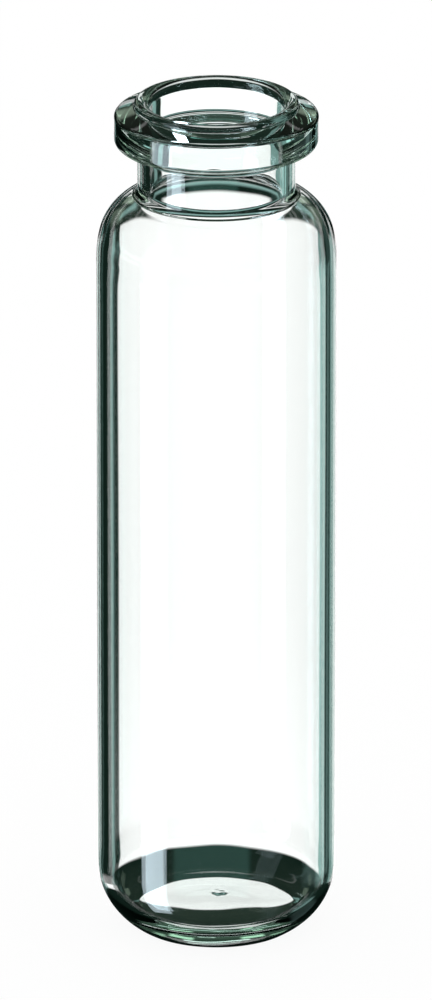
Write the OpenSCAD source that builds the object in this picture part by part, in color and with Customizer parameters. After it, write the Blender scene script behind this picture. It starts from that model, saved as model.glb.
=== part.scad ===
// Clear glass sample vial with a crimp finish: a straight round body with a large-radius heel, a
// short neck, and a flange whose raised lip seals against the liner of a crimped cap.
// The whole vial is one piece of glass, drawn as one half section and turned about the Z axis.

/* [Body] */
// Outside diameter of the body
body_d = 23; // [20:0.1:27]
// Height of the vial, from the surface it stands on to the top of the lip
height = 83.5; // [45:0.1:120]
// Thickness of the tube wall
wall = 1.05; // [0.8:0.05:1.4]

/* [Base] */
// Width of the heel, from the edge of the flat foot out to the body's side
heel_w = 3.75; // [3.65:0.05:5.5]
// Rise of the heel where it leaves the foot, in degrees
heel_slope = 29.5; // [20:0.5:35]
// Outside radius of the heel, where the rise turns up into the wall
heel_r = 7.2; // [4:0.1:7.2]
// Radius of the foot's edge
foot_edge_r = 0.2; // [0.1:0.05:0.4]
// Inside radius where the heel turns up into the wall
heel_inner_r = 4.4; // [2:0.1:5]
// Inside radius where the floor turns up into the heel
floor_r = 2.5; // [1:0.1:3.5]
// Slope where the two radii inside the heel meet, in degrees
heel_inner_slope = 50; // [35:1:65]
// Thickness of the base
base_t = 2.1; // [1.5:0.05:3]
// Diameter of the dimple under the base
dimple_d = 8.6; // [4:0.1:9]
// Height of the dimple at its middle
dimple_h = 0.05; // [0.02:0.01:0.4]

/* [Shoulder] */
// Outside radius where the body turns into the shoulder
shoulder_r = 6; // [4:0.05:7]
// Outside radius where the shoulder turns up into the neck
neck_fillet_r = 0.6; // [0.3:0.05:2]
// Inside radius where the shoulder turns up into the throat
throat_r = 2.35; // [1.4:0.05:3]
// Slope of the shoulder inside, between its two radii, in degrees
throat_slope = 35; // [29:1:44]

/* [Neck] */
// Outside diameter of the neck
neck_d = 15.1; // [14.6:0.1:15.6]
// Height of the neck, from the foot of its fillet's corner to the underside of the flange
neck_h = 4.8; // [3.5:0.1:8]
// Diameter of the bore through the neck
bore_d = 12.7; // [11.5:0.05:12.75]

/* [Finish] */
// Diameter of the flange that a crimped cap grips
flange_d = 19.5; // [19.2:0.1:20.2]
// Height of the flange's side
flange_h = 3.1; // [2.5:0.1:4]
// Fall of the flange's top from the lip to its edge, in degrees
flange_slope = 19; // [8:0.5:24]
// Radius of the flange's lower edge
flange_lower_r = 0.7; // [0.2:0.05:1]
// Radius of the flange's upper edge
flange_upper_r = 0.5; // [0.1:0.05:0.7]
// Radius between the flange and the neck
flange_fillet_r = 0.9; // [0.2:0.05:1.2]

/* [Lip] */
// Outside diameter of the raised lip
lip_d = 15.7; // [15.6:0.1:16.6]
// Height of the lip above the flange
lip_h = 0.65; // [0.6:0.05:1.2]
// Radius of the lip's outer edge
lip_outer_r = 0.4; // [0.1:0.05:0.45]
// Radius of the lip's inner edge, at the mouth
lip_inner_r = 1.0; // [0.3:0.05:1.05]
// Radius between the lip and the flange
lip_fillet_r = 0.2; // [0.1:0.05:0.25]

/* [Hidden] */
$fn = 180;

// Colour of thick clear glass seen against a white ground
glass = [0.78, 0.86, 0.82, 0.45];

// The flank between two radii of a shoulder is this much flatter than they allow, in degrees
flank_ease = 1;
// No shoulder is flatter than this, in degrees
least_slope = 5;

// Radii
body_r = body_d / 2;
inner_r = body_r - wall;
neck_r = neck_d / 2;
bore_r = bore_d / 2;
flange_r = flange_d / 2;
lip_r = lip_d / 2;

// Inside, the shoulder's wide radius is parallel to the outside
shoulder_inner_r = shoulder_r - wall;

// Slope of the flank between a radius that turns inwards and one that turns up, after a run
function flank_slope(run, r_low, r_high) =
    max(least_slope, asin(max(0, 1 - run / (r_low + r_high))) - flank_ease);

// Length from a corner to where an arc of radius r starts, for a wall that meets a slope
function corner_reach(r, slope) = r / tan(45 + slope / 2);

outer_slope = flank_slope(body_r - neck_r, shoulder_r, neck_fillet_r);
inner_slope = max(throat_slope, flank_slope(inner_r - bore_r, shoulder_inner_r, throat_r));

// Heights, worked down from the lip because the finish is made to fit its cap
lip_foot_z = height - lip_h;
flange_top_z = lip_foot_z - (flange_r - lip_r) * tan(flange_slope);
flange_z = flange_top_z - flange_h;
neck_z = flange_z - neck_h;
shoulder_z = neck_z - (body_r - neck_r) * tan(outer_slope);
body_top_z = shoulder_z - corner_reach(shoulder_r, outer_slope);

// The inside turns into the shoulder at the height where the outside does
inner_shoulder_z = body_top_z + corner_reach(shoulder_inner_r, inner_slope);
throat_z = inner_shoulder_z + (inner_r - bore_r) * tan(inner_slope);

// The heel's rise starts at the foot's edge, and its radius takes no more than the rise's length
foot_r = body_r - heel_w;
heel_z = heel_w * tan(heel_slope);
heel_run = heel_w / cos(heel_slope) - foot_edge_r * tan(heel_slope / 2);
heel_arc_r = min(heel_r, heel_run * tan(45 + heel_slope / 2));

// Inside, the heel is two radii with a short straight between them, which slopes
heel_gap = 0.05;
heel_inner_run = heel_inner_r * tan(45 - heel_inner_slope / 2) + floor_r * tan(heel_inner_slope / 2) + heel_gap;

// The lip's top keeps a flat of this width at least between its two radii
lip_flat_w = 0.05;
lip_edge_r = min(lip_outer_r, lip_r - bore_r - lip_inner_r - lip_flat_w);

// Corners of the half section, up the outside, over the lip and down the inside.
// Each is [distance from the axis, height, radius of the corner].
section = [
    [0, 0, 0],
    [foot_r, 0, foot_edge_r],
    [body_r, heel_z, heel_arc_r],
    [body_r, shoulder_z, shoulder_r],
    [neck_r, neck_z, neck_fillet_r],
    [neck_r, flange_z, flange_fillet_r],
    [flange_r, flange_z, flange_lower_r],
    [flange_r, flange_top_z, flange_upper_r],
    [lip_r, lip_foot_z, lip_fillet_r],
    [lip_r, height, lip_edge_r],
    [bore_r, height, lip_inner_r],
    [bore_r, throat_z, throat_r],
    [inner_r, inner_shoulder_z, shoulder_inner_r],
    [inner_r, base_t + heel_inner_run * sin(heel_inner_slope), heel_inner_r],
    [inner_r - heel_inner_run * cos(heel_inner_slope), base_t, floor_r],
    [0, base_t, 0],
];

function unit(v) = v / norm(v);
function point(c) = [c.x, c.y];

// Positive where the outline turns left, which is an outward corner of the glass
function turn(before, at, after) = cross(at - before, after - at);

// What lies between the corner at b, with its neighbours a and c, and the arc of radius r that
// touches both its sides
module corner_spandrel(a, b, c, r) {
    to_a = unit(a - b);
    to_c = unit(c - b);
    half_angle = acos(to_a * to_c) / 2;
    centre = b + unit(to_a + to_c) * r / sin(half_angle);
    reach = r / tan(half_angle);
    difference() {
        polygon([b, b + to_a * reach, centre, b + to_c * reach]);
        translate(centre) circle(r = r);
    }
}

// The spandrels of an outline's outward corners (side = 1) or inward corners (side = -1)
module spandrels(corners, side) {
    count = len(corners);
    for (i = [0 : count - 1]) {
        before = corners[(i + count - 1) % count];
        at = corners[i];
        after = corners[(i + 1) % count];
        if (at.z > 0 && turn(point(before), point(at), point(after)) * side > 0)
            corner_spandrel(point(before), point(at), point(after), at.z);
    }
}

// An outline with each corner rounded by its own radius
module rounded_outline(corners) {
    difference() {
        union() {
            polygon([for (c = corners) point(c)]);
            spandrels(corners, -1);
        }
        spandrels(corners, 1);
    }
}

// Half section of a ball cap on the axis, with its rim at height z
module cap_section(rim_d, rise, z) {
    ball_r = (rim_d * rim_d / 4 + rise * rise) / (2 * rise);
    translate([0, z]) intersection() {
        translate([0, rise - ball_r]) circle(r = ball_r);
        square([rim_d / 2, rise]);
    }
}

module vial() {
    color(glass) rotate_extrude() difference() {
        rounded_outline(section);
        cap_section(dimple_d, dimple_h, 0);
    }
}

vial();
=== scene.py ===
"""A clear glass sample vial, laid out as an add-on: the glass, the studio round it and the camera."""

import bisect
import math

import bmesh
import bpy
from mathutils import Matrix, Vector, noise


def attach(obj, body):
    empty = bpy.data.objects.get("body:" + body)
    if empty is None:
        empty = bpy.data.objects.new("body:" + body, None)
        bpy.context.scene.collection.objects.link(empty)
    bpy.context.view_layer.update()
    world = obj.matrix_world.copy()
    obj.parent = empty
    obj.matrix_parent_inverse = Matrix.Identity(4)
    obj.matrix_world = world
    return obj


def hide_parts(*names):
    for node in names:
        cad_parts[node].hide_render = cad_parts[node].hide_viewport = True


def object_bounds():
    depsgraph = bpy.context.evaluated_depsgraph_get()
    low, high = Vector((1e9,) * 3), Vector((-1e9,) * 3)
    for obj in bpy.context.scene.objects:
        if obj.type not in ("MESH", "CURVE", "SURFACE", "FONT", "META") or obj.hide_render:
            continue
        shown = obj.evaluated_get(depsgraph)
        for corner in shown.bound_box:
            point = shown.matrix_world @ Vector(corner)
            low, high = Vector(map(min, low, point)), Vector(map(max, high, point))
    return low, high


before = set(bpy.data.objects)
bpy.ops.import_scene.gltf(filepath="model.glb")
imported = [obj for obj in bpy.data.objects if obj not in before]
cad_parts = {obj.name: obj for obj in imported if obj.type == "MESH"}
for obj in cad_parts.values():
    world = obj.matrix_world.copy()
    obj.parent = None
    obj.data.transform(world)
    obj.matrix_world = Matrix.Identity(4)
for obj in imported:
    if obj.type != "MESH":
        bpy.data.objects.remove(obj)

bl_info = {
    "name": "Glass Sample Vial",
    "version": (1, 0, 0),
    "blender": (4, 5, 0),
    "location": "View3D > Sidebar > Sample Vial",
    "description": "Builds a clear glass sample vial with a crimp finish and the studio it stands in",
    "category": "Add Mesh",
}

MM = 0.001
FRAME_LOW, FRAME_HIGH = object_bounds()


# ---------------------------------------------------------------------------------------------
# Sizes and colours
# ---------------------------------------------------------------------------------------------


def length_prop(name, description, default):
    """A length that a user may change, in metres."""
    return bpy.props.FloatProperty(
        name=name, description=description, default=default, min=0.0, precision=5,
        subtype="DISTANCE", unit="LENGTH",
    )


def slope_prop(name, description, degrees):
    """A slope that a user may change, stored in radians."""
    return bpy.props.FloatProperty(
        name=name, description=description, default=math.radians(degrees),
        subtype="ANGLE", unit="ROTATION",
    )


def colour_prop(name, description, default):
    """A colour that a user may change."""
    return bpy.props.FloatVectorProperty(
        name=name, description=description, default=default, min=0.0, max=1.0, subtype="COLOR",
    )


class VialSizes(bpy.types.PropertyGroup):
    """Sizes of the glass. The overall sizes come from the frame."""

    height: length_prop(
        "Height", "From the surface it stands on to the top of the lip", FRAME_HIGH.z - FRAME_LOW.z)
    body_diameter: length_prop(
        "Body diameter", "Outside diameter of the body", FRAME_HIGH.x - FRAME_LOW.x)
    wall: length_prop("Wall", "Thickness of the tube wall", 1.05 * MM)
    heel_radius: length_prop(
        "Heel radius", "Outside radius where the heel turns up into the wall", 7.2 * MM)
    heel_width: length_prop(
        "Heel width", "From the edge of the flat foot out to the body's side", 3.75 * MM)
    foot_radius: length_prop("Foot radius", "Radius of the foot's edge", 0.2 * MM)
    heel_inner_radius: length_prop(
        "Inner heel radius", "Inside radius where the heel turns up into the wall", 4.4 * MM)
    floor_radius: length_prop(
        "Floor radius", "Inside radius where the floor turns up into the heel", 2.5 * MM)
    base: length_prop("Base", "Thickness of the base", 2.1 * MM)
    dimple_diameter: length_prop("Dimple diameter", "Diameter of the dimple under the base", 8.6 * MM)
    dimple_height: length_prop("Dimple height", "Height of the dimple at its middle", 0.05 * MM)
    shoulder_radius: length_prop("Shoulder radius", "Where the body turns into the shoulder", 6.0 * MM)
    neck_fillet: length_prop("Neck fillet", "Where the shoulder turns up into the neck", 0.6 * MM)
    throat_radius: length_prop(
        "Throat radius", "Inside radius where the shoulder turns up into the neck", 1.5 * MM)
    shoulder_lift: length_prop(
        "Shoulder lift", "How far the shoulder's inside is raised, which thins it", 0.19 * MM)
    neck_diameter: length_prop("Neck diameter", "Outside diameter of the neck", 15.1 * MM)
    neck_height: length_prop(
        "Neck height", "From the shoulder's corner to the underside of the flange", 4.8 * MM)
    bore_diameter: length_prop("Bore diameter", "Diameter of the bore through the neck", 12.7 * MM)
    flange_diameter: length_prop("Flange diameter", "Diameter of the flange that a cap grips", 19.5 * MM)
    flange_height: length_prop("Flange height", "Height of the flange's side", 3.1 * MM)
    flange_lower_radius: length_prop("Flange lower radius", "Radius of the flange's lower edge", 0.7 * MM)
    flange_upper_radius: length_prop("Flange upper radius", "Radius of the flange's upper edge", 0.5 * MM)
    flange_fillet: length_prop("Flange fillet", "Radius between the flange and the neck", 0.9 * MM)
    lip_diameter: length_prop("Lip diameter", "Outside diameter of the raised lip", 15.7 * MM)
    lip_height: length_prop("Lip height", "Height of the lip above the flange", 0.65 * MM)
    lip_outer_radius: length_prop("Lip outer radius", "Radius of the lip's outer edge", 0.4 * MM)
    lip_inner_radius: length_prop("Lip inner radius", "Radius of the lip's inner edge", 1.0 * MM)
    lip_fillet: length_prop("Lip fillet", "Radius between the lip and the flange", 0.2 * MM)
    flange_slope: slope_prop("Flange slope", "Fall of the flange's top from the lip to its edge", 19.0)
    heel_slope: slope_prop(
        "Heel slope", "Rise of the heel from the foot's edge to where its radius starts", 29.5)
    throat_slope: slope_prop("Throat slope", "Slope of the shoulder inside, between its two radii", 27.9)
    heel_inner_slope: slope_prop("Inner heel slope", "Slope where its two radii meet", 50.0)


class VialLooks(bpy.types.PropertyGroup):
    """Looks of the glass. The tint shows where light runs far inside it."""

    tint: colour_prop("Tint", "Colour that light takes on inside the glass", (0.45, 0.86, 0.72))
    tint_density: bpy.props.FloatProperty(
        name="Tint density", description="How fast light takes on the tint, for each metre of glass",
        default=40.0, min=0.0,
    )
    shadow_tint: colour_prop(
        "Shadow tint", "Colour of the light in the vial's shadow", (0.80, 0.86, 0.84))
    refraction: bpy.props.FloatProperty(
        name="Refractive index", description="How strongly the glass bends light",
        default=1.5, min=1.0,
    )


# ---------------------------------------------------------------------------------------------
# The half section
# ---------------------------------------------------------------------------------------------

FLANK_EASE = math.radians(1.0)      # a flank is this much flatter than its two radii allow
LEAST_SLOPE = math.radians(5.0)     # no shoulder is flatter than this
HEEL_GAP = 0.05 * MM                # straight between the two radii inside the heel
ARC_STEP = math.radians(3.0)        # turn of the outline from one point of an arc to the next
EDGE_STEP = math.radians(5.0)       # the same for the small radii along the edges
EDGE_RADIUS = 0.75 * MM             # a radius below this is a small one
FEWEST_STEPS = 3                    # every arc has at least this many steps
LONGEST_STEP = 0.38 * MM            # longest stretch without a point, but for the body's wall
BODY_LENGTH = 20.0 * MM             # only the body's wall is straight for longer than this
BODY_STEPS = 44                     # points along the body's wall, closer together at its ends

# Where the glass eases from straight to round, as (height, reach up and down, half width) in
# millimetres: each point there moves to the mean of the outline within the half width.
EASES = ((6.5, 3.5, 1.2), (68.7, 4.5, 1.6))
EASE_SAMPLES = 12                   # the mean is taken over this many steps


def flank_slope(run, low_radius, high_radius):
    """Slope of the flank between two radii that lead over a run."""
    steepest = math.asin(max(0.0, 1.0 - run / (low_radius + high_radius)))
    return max(LEAST_SLOPE, steepest - FLANK_EASE)


def corner_reach(radius, slope):
    """Length from a corner to where its arc starts, for a wall that meets a slope."""
    return radius / math.tan(math.pi / 4 + slope / 2)


def section_corners(s):
    """Corners of the half section as (distance from axis, height, radius), outside then inside."""
    body = s.body_diameter / 2
    inner = body - s.wall
    neck = s.neck_diameter / 2
    bore = s.bore_diameter / 2
    flange = s.flange_diameter / 2
    lip = s.lip_diameter / 2
    inner_shoulder_radius = s.shoulder_radius - s.wall
    foot = body - s.heel_width
    heel = s.heel_width * math.tan(s.heel_slope)
    inner_heel = (s.heel_inner_radius * math.tan(math.pi / 4 - s.heel_inner_slope / 2)
                  + s.floor_radius * math.tan(s.heel_inner_slope / 2) + HEEL_GAP)
    outer_slope = flank_slope(body - neck, s.shoulder_radius, s.neck_fillet)
    inner_slope = max(
        s.throat_slope, flank_slope(inner - bore, inner_shoulder_radius, s.throat_radius))

    lip_foot = s.height - s.lip_height
    flange_top = lip_foot - (flange - lip) * math.tan(s.flange_slope)
    flange_foot = flange_top - s.flange_height
    neck_foot = flange_foot - s.neck_height
    shoulder = neck_foot - (body - neck) * math.tan(outer_slope)
    body_top = shoulder - corner_reach(s.shoulder_radius, outer_slope)
    inner_shoulder = body_top + s.shoulder_lift + corner_reach(inner_shoulder_radius, inner_slope)
    throat = inner_shoulder + (inner - bore) * math.tan(inner_slope)
    return [
        (0.0, 0.0, 0.0),
        (foot, 0.0, s.foot_radius),
        (body, heel, s.heel_radius),
        (body, shoulder, s.shoulder_radius),
        (neck, neck_foot, s.neck_fillet),
        (neck, flange_foot, s.flange_fillet),
        (flange, flange_foot, s.flange_lower_radius),
        (flange, flange_top, s.flange_upper_radius),
        (lip, lip_foot, s.lip_fillet),
        (lip, s.height, s.lip_outer_radius),
        (bore, s.height, s.lip_inner_radius),
        (bore, throat, s.throat_radius),
        (inner, inner_shoulder, inner_shoulder_radius),
        (inner, s.base + inner_heel * math.sin(s.heel_inner_slope), s.heel_inner_radius),
        (inner - inner_heel * math.cos(s.heel_inner_slope), s.base, s.floor_radius),
        (0.0, s.base, 0.0),
    ]


def corner_arc(before, at, after, radius):
    """Points of the arc that rounds one corner of an outline."""
    to_before = (before - at).normalized()
    to_after = (after - at).normalized()
    half = to_before.angle(to_after) / 2
    centre = at + (to_before + to_after).normalized() * (radius / math.sin(half))
    first = at + to_before * (radius / math.tan(half)) - centre
    last = at + to_after * (radius / math.tan(half)) - centre
    turn = first.angle_signed(last)
    step = EDGE_STEP if radius < EDGE_RADIUS else ARC_STEP
    steps = max(FEWEST_STEPS, math.ceil(abs(turn) / step))
    return [centre + Matrix.Rotation(-turn * i / steps, 2) @ first for i in range(steps + 1)]


def rounded(corners):
    """The outline with each corner rounded by its own radius, as one list of points."""
    places = [Vector(c[:2]) for c in corners]
    points = []
    for i, (at, corner) in enumerate(zip(places, corners)):
        if corner[2] > 0:
            points += corner_arc(places[i - 1], at, places[(i + 1) % len(places)], corner[2])
        else:
            points.append(at)
    return points


def stepped(points):
    """The outline with points added so that no stretch of it is too long to be curved."""
    out = [points[0]]
    for a, b in zip(points, points[1:]):
        run = (b - a).length
        if run > BODY_LENGTH:
            shares = [(1 - math.cos(math.pi * i / BODY_STEPS)) / 2 for i in range(1, BODY_STEPS + 1)]
        else:
            steps = max(1, math.ceil(run / LONGEST_STEP))
            shares = [i / steps for i in range(1, steps + 1)]
        out += [a.lerp(b, share) for share in shares]
    return out


def eased(points):
    """The outline with its curvature growing gently where the body turns into heel and shoulder."""
    along = [0.0]
    for a, b in zip(points, points[1:]):
        along.append(along[-1] + (b - a).length)

    def at(spot):
        i = min(max(bisect.bisect_left(along, spot), 1), len(along) - 1)
        return points[i - 1].lerp(points[i], (spot - along[i - 1]) / (along[i] - along[i - 1]))

    out = []
    for p, here in zip(points, along):
        half = 0.0
        for height, reach, width in EASES:
            off = min(1.0, abs(p.y / MM - height) / reach)
            half += width * MM * (1.0 - off * off) ** 2
        spots = [here]
        if half:
            spots = [here + half * (2 * i / EASE_SAMPLES - 1) for i in range(EASE_SAMPLES + 1)]
        out.append(sum((at(spot) for spot in spots), Vector((0.0, 0.0))) / len(spots))
    return out


def ball_cap(radius, rim, rise):
    """Height above its rim of a ball cap at a distance from its axis."""
    if radius >= rim:
        return 0.0
    ball = (rim * rim + rise * rise) / (2 * rise)
    return rise - ball + math.sqrt(ball * ball - radius * radius)


def glass_section(s):
    """Points of the half section, from the middle of the underside to the middle of the floor."""
    points = eased(stepped(rounded(section_corners(s))))
    for p in points:
        if p.y < s.base / 2:
            p.y += ball_cap(p.x, s.dimple_diameter / 2, s.dimple_height)
    return points


# ---------------------------------------------------------------------------------------------
# The glass
# ---------------------------------------------------------------------------------------------

SEGMENTS = 220               # points round the vial
AXIS_FADE = 2.0 * MM         # the unevenness fades out within this distance from the axis
INSIDE_NOISE = 40.0          # how far the inside's noise lies from the outside's

# Unevenness of the glass from being shaped hot, as (height it starts at, depth, size round,
# size up) in millimetres, from the base up. It runs smoothly from one to the next.
UNEVEN = (
    (0.0, 0.032, 4.0, 2.5),
    (7.0, 0.004, 6.0, 30.0),
    (64.0, 0.004, 6.0, 30.0),
    (70.0, 0.012, 5.0, 5.0),
    (78.0, 0.010, 5.0, 4.0),
    (80.0, 0.020, 3.0, 1.8),
    (90.0, 0.020, 3.0, 1.8),
)
FOOT_FLAT = 0.10 * MM        # the foot stays true up to this height
FLOOR_REACH = 0.05 * MM      # the inside counts as floor this near to the floor's height

# The small mark on the floor, where the flame cut the vial off the tube.
CUT_RADIUS = 1.1 * MM
CUT_HEIGHT = 0.042 * MM
CUT_PLACE = Vector((0.25, 1.85)) * MM      # its middle, a little behind the vial's axis
CUT_LEVEL = 0.6                            # the noise that shapes it varies round this
CUT_NOISE_SCALE = 1.4 / MM
CUT_NOISE_PLACE = Vector((0.0, 0.0, 3.7))  # the part of the noise that shapes it


def unevenness(place, side):
    """How far the surface lies off its true form at a place, outside (side 0) or inside (1)."""
    x, y, z = place / MM

    def wave(start, depth, size_round, size_up):
        spot = Vector((x / size_round, y / size_round, z / size_up + INSIDE_NOISE * side))
        return depth * MM * noise.noise(spot)

    for low, high in zip(UNEVEN, UNEVEN[1:]):
        if z < high[0]:
            break
    share = min(1.0, max(0.0, (z - low[0]) / (high[0] - low[0])))
    share = share * share * (3.0 - 2.0 * share)
    return wave(*low) * (1.0 - share) + wave(*high) * share


def cut_mark(place):
    """Height of the mark near the middle of the floor."""
    off = ((place.xy - CUT_PLACE).length / CUT_RADIUS) ** 2
    if off >= 1.0:
        return 0.0
    level = CUT_LEVEL + noise.noise(place * CUT_NOISE_SCALE + CUT_NOISE_PLACE)
    return CUT_HEIGHT * (1.0 - off) ** 2 * level


def section_normals(section):
    """Unit normals of the half section, out of the glass."""
    normals = []
    for i in range(len(section)):
        along = section[min(i + 1, len(section) - 1)] - section[max(i - 1, 0)]
        normals.append(Vector((along.y, -along.x)).normalized())
    return normals


def lathe(name, section, floor):
    """A closed smooth mesh turned from a half section, outside first, a little unevenly.

    The mark goes on the part of the inside that lies at the floor's height.
    """
    mesh = bpy.data.meshes.new(name)
    bm = bmesh.new()
    low = bm.verts.new((0.0, 0.0, section[0].y))
    high = bm.verts.new((0.0, 0.0, section[-1].y + cut_mark(Vector((0.0, 0.0, section[-1].y)))))
    top = max(range(len(section)), key=lambda i: section[i].y)
    rings = []
    for i, (p, normal) in enumerate(list(zip(section, section_normals(section)))[1:-1]):
        ring = []
        for k in range(SEGMENTS):
            angle = 2 * math.pi * k / SEGMENTS
            out = Vector((math.sin(angle), -math.cos(angle), 0.0))
            place = out * p.x + Vector((0.0, 0.0, p.y))
            fade = min(1.0, p.x / AXIS_FADE) * (p.y > FOOT_FLAT)
            off = unevenness(place, int(i > top)) * fade
            if i > top and abs(p.y - floor) < FLOOR_REACH:
                off += cut_mark(place)
            ring.append(bm.verts.new(place + (out * normal.x + Vector((0.0, 0.0, normal.y))) * off))
        rings.append(ring)
    for i in range(SEGMENTS):
        j = (i + 1) % SEGMENTS
        bm.faces.new((low, rings[0][j], rings[0][i]))
        bm.faces.new((high, rings[-1][i], rings[-1][j]))
        for a, b in zip(rings, rings[1:]):
            bm.faces.new((a[i], a[j], b[j], b[i]))
    for face in bm.faces:
        face.smooth = True
    bm.to_mesh(mesh)
    bm.free()
    return mesh


def glass_material(looks):
    """Clear glass with a faint green cast that deepens with the length light runs inside it."""
    material = bpy.data.materials.new("clear_glass")
    material.use_nodes = True
    nodes, links = material.node_tree.nodes, material.node_tree.links
    nodes.clear()
    out = nodes.new("ShaderNodeOutputMaterial")
    glass = nodes.new("ShaderNodeBsdfPrincipled")
    glass.inputs["Base Color"].default_value = (1.0, 1.0, 1.0, 1.0)
    glass.inputs["Roughness"].default_value = 0.0
    glass.inputs["IOR"].default_value = looks.refraction
    glass.inputs["Transmission Weight"].default_value = 1.0
    clear = nodes.new("ShaderNodeBsdfTransparent")
    clear.inputs["Color"].default_value = (*looks.shadow_tint, 1.0)
    path = nodes.new("ShaderNodeLightPath")
    mix = nodes.new("ShaderNodeMixShader")
    links.new(path.outputs["Is Shadow Ray"], mix.inputs["Fac"])
    links.new(glass.outputs["BSDF"], mix.inputs[1])
    links.new(clear.outputs["BSDF"], mix.inputs[2])
    links.new(mix.outputs["Shader"], out.inputs["Surface"])
    absorb = nodes.new("ShaderNodeVolumeAbsorption")
    absorb.inputs["Color"].default_value = (*looks.tint, 1.0)
    absorb.inputs["Density"].default_value = looks.tint_density
    links.new(absorb.outputs["Volume"], out.inputs["Volume"])
    return material


class VIAL_OT_glass(bpy.types.Operator):
    """Build the glass vial and put it in the place of the frame's solid"""

    bl_idname = "vial.glass"
    bl_label = "Glass Vial"

    def execute(self, context):
        sizes = context.scene.vial_sizes
        mesh = lathe("glass_vial", glass_section(sizes), sizes.base)
        mesh.materials.append(glass_material(context.scene.vial_looks))
        vial = bpy.data.objects.new("glass_vial", mesh)
        context.scene.collection.objects.link(vial)
        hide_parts("vial")
        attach(vial, "root")
        return {"FINISHED"}


# ---------------------------------------------------------------------------------------------
# The studio
# ---------------------------------------------------------------------------------------------

AIM = Vector((-0.04, 0.0, 43.06)) * MM  # the point that the camera looks at
CAMERA_ELEVATION = math.radians(20.0)
CAMERA_DISTANCE = 1.55       # from the camera to that point
CAMERA_REACH = 100.0         # nothing further away is rendered
RENDER_PIXELS = 1000         # height of the render
PIXELS_PER_METRE = 10430.0   # at the vial's axis
SENSOR = 36.0                # longer side of the sensor, in millimetres

FLOOR_SIZE = 60.0            # side of the floor
FLOOR_GAP = 0.02 * MM        # the floor lies this far under the foot
FLOOR_SHADE = 0.08           # the share of the floor's white that answers to light and shadow

# Colours of the panels
WHITE = (1.0, 1.0, 1.0)
SCREEN = (1.02, 1.0, 1.0)
SOFTBOX = (0.83, 1.0, 1.1)
REAR = (0.44, 1.1, 0.96)
MOSS = (0.78, 1.0, 0.78)
TEAL = (0.60, 1.0, 0.94)


class Panel:
    """A panel of light round the vial, from turn - half to turn + half and from low to high.

    These and the softness of its edges are in degrees. Turn 0 is straight behind the vial, and
    height 0 is the horizon. Where panels overlap, their light adds up.
    """

    def __init__(self, turn, half, low, high, level, colour=WHITE, soft=1.0):
        self.turn, self.half, self.low, self.high = turn, half, low, high
        self.level, self.colour, self.soft = level, colour, soft


def backlight(turn, low, high):
    """A white screen behind the vial for one direction of view, with a dim strip at each side."""
    return [
        Panel(turn + 2.4, 14.1, low, high, 1.18, SCREEN, 0.5),
        Panel(turn - 18.3, 2.3, low, high, 0.42, TEAL, 0.8),
        Panel(turn + 23.0, 6.5, low, high, 0.36, TEAL, 1.0),
    ]


# White screens stand behind the vial for five directions of view only, as azimuth,elevation: 0,20,
# 45,25, 225,15 and 90,3 by backlight, and 0,3 by the first panel of the list. From elsewhere the
# glass shows dim panels or the dark, and looks teal to near black: a limit of this studio.
PANELS = (
    backlight(0.0, -22.9, -16.0)
    + backlight(-45.0, -27.3, -23.6)
    + backlight(135.0, -15.9, -12.8)
    + backlight(-90.0, -5.0, -1.2)
    + [
        Panel(1.5, 13.0, -4.4, -2.2, 1.18, SCREEN, 0.5),
        Panel(0.0, 14.0, -13.4, -10.8, 0.45, TEAL, 1.0),
        Panel(0.0, 16.0, 3.0, 8.0, 1.20, WHITE, 0.8),
        Panel(0.0, 50.0, 35.0, 37.0, 1.00, WHITE, 0.6),
        Panel(-115.0, 12.5, -46.0, -16.0, 7.0, SOFTBOX, 1.0),
        Panel(155.0, 12.0, -5.0, 0.0, 7.0, SOFTBOX, 0.8),
        Panel(45.0, 2.5, -22.9, -16.0, 0.50, TEAL, 0.8),
        Panel(55.0, 5.0, -22.9, -16.0, 0.95, TEAL, 2.0),
        Panel(71.0, 11.0, -22.9, -16.0, 0.30, TEAL, 2.0),
        Panel(-175.0, 38.0, -22.9, -16.0, 0.50, REAR, 3.0),
        Panel(0.0, 16.0, -22.9, -20.8, 0.12, WHITE, 0.5),
        Panel(0.0, 65.0, 5.0, 45.0, 0.05, MOSS, 6.0),
        Panel(-36.0, 8.0, 6.0, 14.0, 0.55, MOSS, 2.0),
        Panel(36.0, 10.0, 6.0, 14.0, 0.55, MOSS, 2.0),
        Panel(-65.0, 8.0, -9.0, -1.0, 0.50, TEAL, 2.0),
        Panel(-18.0, 6.0, 12.0, 22.0, 1.00, MOSS, 1.5),
        Panel(18.0, 6.0, 12.0, 22.0, 1.00, MOSS, 1.5),
        Panel(54.0, 16.0, -50.0, -35.0, 0.22, TEAL, 2.0),
        Panel(0.0, 24.0, -66.0, -52.0, 0.90, WHITE, 2.0),
        Panel(-115.0, 12.0, -16.0, 40.0, 0.8, SOFTBOX, 1.0),
        Panel(-141.0, 9.0, 0.0, 20.0, 0.9, SOFTBOX, 3.0),
        Panel(0.0, 181.0, 20.0, 91.0, 0.06, MOSS, 6.0),
    ]
)
DARKNESS = (0.006, 0.015, 0.011)  # the light where no panel is


def math_node(nodes, links, operation, *values):
    """The output of a math node with numbers or other nodes' outputs at its sockets."""
    node = nodes.new("ShaderNodeMath")
    node.operation = operation
    for socket, value in zip(node.inputs, values):
        if isinstance(value, (int, float)):
            socket.default_value = value
        else:
            links.new(value, socket)
    return node.outputs[0]


def ramp_node(nodes, links, value, start, end):
    """The output of a smooth step from 0 at start to 1 at end, which are other nodes' outputs."""
    node = nodes.new("ShaderNodeMapRange")
    node.interpolation_type = "SMOOTHSTEP"
    for name, given in (("Value", value), ("From Min", start), ("From Max", end)):
        links.new(given, node.inputs[name])
    return node.outputs["Result"]


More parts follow.
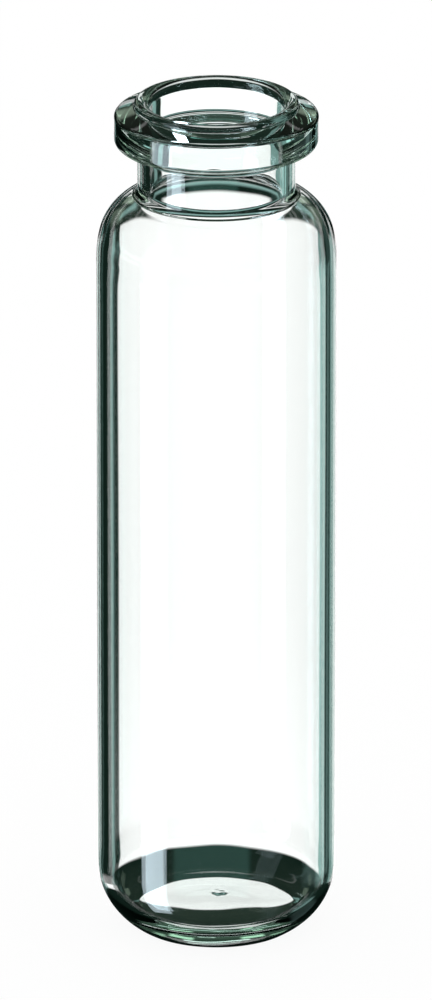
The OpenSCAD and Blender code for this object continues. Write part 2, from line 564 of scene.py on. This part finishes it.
def panel_group():
    """Mask of one panel in the directions round the vial, with edges of its own softness."""
    group = bpy.data.node_groups.new("panel", "ShaderNodeTree")
    for name in ("Azimuth", "Height", "Turn", "Half Width", "Low", "High", "Softness"):
        group.interface.new_socket(name, in_out="INPUT", socket_type="NodeSocketFloat")
    group.interface.new_socket("Mask", in_out="OUTPUT", socket_type="NodeSocketFloat")
    nodes, links = group.nodes, group.links
    given = nodes.new("NodeGroupInput").outputs
    out = nodes.new("NodeGroupOutput")

    def do(operation, *values):
        return math_node(nodes, links, operation, *values)

    off = do("ABSOLUTE", do("WRAP", do("SUBTRACT", given["Azimuth"], given["Turn"]), 180.0, -180.0))

    def edge(value, name, outward, inward):
        start = do(outward, given[name], given["Softness"])
        end = do(inward, given[name], given["Softness"])
        return ramp_node(nodes, links, value, start, end)

    sides = edge(off, "Half Width", "ADD", "SUBTRACT")
    foot = edge(given["Height"], "Low", "SUBTRACT", "ADD")
    head = edge(given["Height"], "High", "ADD", "SUBTRACT")
    links.new(do("MULTIPLY", sides, do("MULTIPLY", foot, head)), out.inputs["Mask"])
    return group


class VIAL_OT_stage(bpy.types.Operator):
    """Lay the white floor, set the world with its panels of light and place the camera"""

    bl_idname = "vial.stage"
    bl_label = "Stage"

    def execute(self, context):
        self.floor(context.scene)
        self.world(context.scene)
        self.camera(context.scene)
        return {"FINISHED"}

    def floor(self, scene):
        """A wide white sheet that takes the vial's faint shadow and that the glass doesn't show."""
        half = FLOOR_SIZE / 2
        corners = [(-half, -half, 0), (half, -half, 0), (half, half, 0), (-half, half, 0)]
        mesh = bpy.data.meshes.new("floor")
        mesh.from_pydata(corners, [], [(0, 1, 2, 3)])
        floor = bpy.data.objects.new("floor", mesh)
        scene.collection.objects.link(floor)
        floor.location.z = FRAME_LOW.z - FLOOR_GAP
        floor.visible_glossy = False
        floor.visible_transmission = False
        material = bpy.data.materials.new("white_floor")
        material.use_nodes = True
        nodes, links = material.node_tree.nodes, material.node_tree.links
        nodes.clear()
        out = nodes.new("ShaderNodeOutputMaterial")
        paper = nodes.new("ShaderNodeBsdfPrincipled")
        paper.inputs["Base Color"].default_value = (FLOOR_SHADE, FLOOR_SHADE, FLOOR_SHADE, 1.0)
        paper.inputs["Roughness"].default_value = 1.0
        paper.inputs["Specular IOR Level"].default_value = 0.0
        paper.inputs["Emission Color"].default_value = (1.0, 1.0, 1.0, 1.0)
        path = nodes.new("ShaderNodeLightPath")
        glow = math_node(nodes, links, "MULTIPLY", path.outputs["Is Camera Ray"], 1.0 - FLOOR_SHADE)
        links.new(glow, paper.inputs["Emission Strength"])
        links.new(paper.outputs["BSDF"], out.inputs["Surface"])
        mesh.materials.append(material)

    def world(self, scene):
        """White as a background, while the glass mirrors and bends the dark and its panels."""
        world = bpy.data.worlds.new("studio")
        world.use_nodes = True
        nodes, links = world.node_tree.nodes, world.node_tree.links
        nodes.clear()
        out = nodes.new("ShaderNodeOutputWorld")
        direction = nodes.new("ShaderNodeTexCoord")
        split = nodes.new("ShaderNodeSeparateXYZ")
        links.new(direction.outputs["Generated"], split.inputs[0])
        turn = math_node(nodes, links, "ARCTAN2", split.outputs["X"], split.outputs["Y"])
        rise = math_node(nodes, links, "ARCSINE", split.outputs["Z"])
        azimuth = math_node(nodes, links, "DEGREES", turn)
        height = math_node(nodes, links, "DEGREES", rise)
        group = panel_group()
        total = None
        for panel in PANELS:
            mask = nodes.new("ShaderNodeGroup")
            mask.node_tree = group
            links.new(azimuth, mask.inputs["Azimuth"])
            links.new(height, mask.inputs["Height"])
            for name, value in (("Turn", panel.turn), ("Half Width", panel.half), ("Low", panel.low),
                                ("High", panel.high), ("Softness", panel.soft)):
                mask.inputs[name].default_value = value
            light = nodes.new("ShaderNodeVectorMath")
            light.operation = "MULTIPLY_ADD"
            links.new(mask.outputs["Mask"], light.inputs[0])
            light.inputs[1].default_value = [panel.level * c for c in panel.colour]
            if total:
                links.new(total, light.inputs[2])
            else:
                light.inputs[2].default_value = DARKNESS
            total = light.outputs[0]
        panels = nodes.new("ShaderNodeBackground")
        links.new(total, panels.inputs["Color"])
        white = nodes.new("ShaderNodeBackground")
        white.inputs["Color"].default_value = (1.0, 1.0, 1.0, 1.0)
        path = nodes.new("ShaderNodeLightPath")
        through = math_node(
            nodes, links, "MAXIMUM", path.outputs["Is Glossy Ray"], path.outputs["Is Transmission Ray"])
        mix = nodes.new("ShaderNodeMixShader")
        links.new(through, mix.inputs["Fac"])
        links.new(white.outputs[0], mix.inputs[1])
        links.new(panels.outputs[0], mix.inputs[2])
        links.new(mix.outputs[0], out.inputs["Surface"])
        scene.world = world

    def camera(self, scene):
        """The camera in front of the vial, a little above it."""
        data = bpy.data.cameras.new("camera")
        data.sensor_width = SENSOR
        data.lens = PIXELS_PER_METRE * CAMERA_DISTANCE / RENDER_PIXELS * SENSOR
        data.clip_end = CAMERA_REACH
        camera = bpy.data.objects.new("camera", data)
        scene.collection.objects.link(camera)
        back = Vector((0.0, -math.cos(CAMERA_ELEVATION), math.sin(CAMERA_ELEVATION)))
        camera.location = AIM + back * CAMERA_DISTANCE
        camera.rotation_euler = (-back).to_track_quat("-Z", "Y").to_euler()
        scene.camera = camera


class VIAL_PT_sidebar(bpy.types.Panel):
    """The vial's sizes and looks, and a button for each thing that the script makes"""

    bl_idname = "VIAL_PT_sidebar"
    bl_label = "Glass Sample Vial"
    bl_space_type = "VIEW_3D"
    bl_region_type = "UI"
    bl_category = "Sample Vial"

    def draw(self, context):
        for group in (context.scene.vial_sizes, context.scene.vial_looks):
            for name in type(group).__annotations__:
                self.layout.prop(group, name)
        for operator in (VIAL_OT_glass, VIAL_OT_stage):
            self.layout.operator(operator.bl_idname)


CLASSES = (VialSizes, VialLooks, VIAL_OT_glass, VIAL_OT_stage, VIAL_PT_sidebar)


def register():
    for cls in CLASSES:
        bpy.utils.register_class(cls)
    bpy.types.Scene.vial_sizes = bpy.props.PointerProperty(type=VialSizes)
    bpy.types.Scene.vial_looks = bpy.props.PointerProperty(type=VialLooks)


def unregister():
    del bpy.types.Scene.vial_looks
    del bpy.types.Scene.vial_sizes
    for cls in reversed(CLASSES):
        bpy.utils.unregister_class(cls)


def main():
    register()
    bpy.ops.vial.glass()
    bpy.ops.vial.stage()
    bpy.context.scene.view_settings.view_transform = "Standard"


if __name__ == "__main__":
    main()
